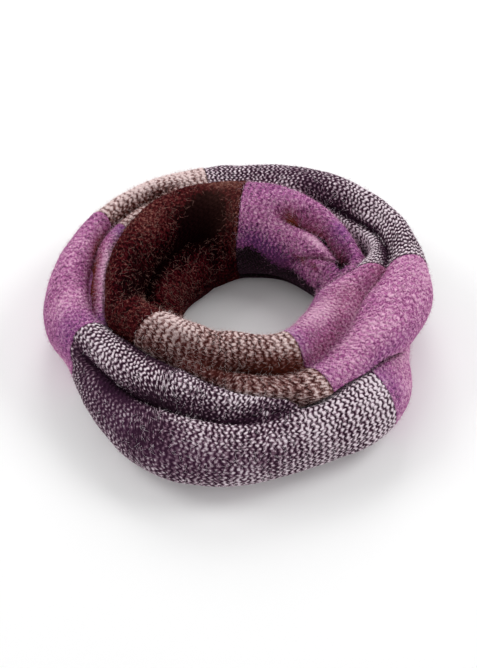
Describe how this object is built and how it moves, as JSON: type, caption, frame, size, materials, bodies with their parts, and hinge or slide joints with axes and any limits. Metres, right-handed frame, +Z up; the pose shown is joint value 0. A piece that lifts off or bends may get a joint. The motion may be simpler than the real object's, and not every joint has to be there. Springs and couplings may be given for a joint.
{
  "type": "infinity scarf",
  "caption": "Chunky brushed-knit infinity scarf in broad colour blocks, wound twice round and laid down as a ring, to be worn round the neck.",
  "frame": {"origin": "centre of the ring's bounding box, on the surface that it rests on", "axes": "+Z up along the neck opening, +Y the back of the ring as pictured, +X right"},
  "size_m": [0.3394, 0.3332, 0.1028],
  "materials": {
    "marl_knit": "chunky purl knit, pale pink yarn ridges over dark aubergine, brushed",
    "pink_knit": "chunky purl knit in orchid pink with paler fibres, brushed",
    "maroon_knit": "chunky purl knit in very dark maroon with sparse taupe fibres, brushed",
    "taupe_knit": "chunky purl knit in pinkish taupe over brown, brushed",
    "hidden_knit": "the same knit, rolled up out of sight"
  },
  "bodies": {
    "root": {"marl_front": "marl_knit", "pink_right_under": "pink_knit", "pink_back_inner": "pink_knit", "maroon_inner": "maroon_knit", "taupe_front_inner": "taupe_knit", "pink_right_over": "pink_knit", "marl_back": "marl_knit", "taupe_back_left": "taupe_knit", "pink_left": "pink_knit", "hidden_layers": "hidden_knit"}
  },
  "joints": []
}
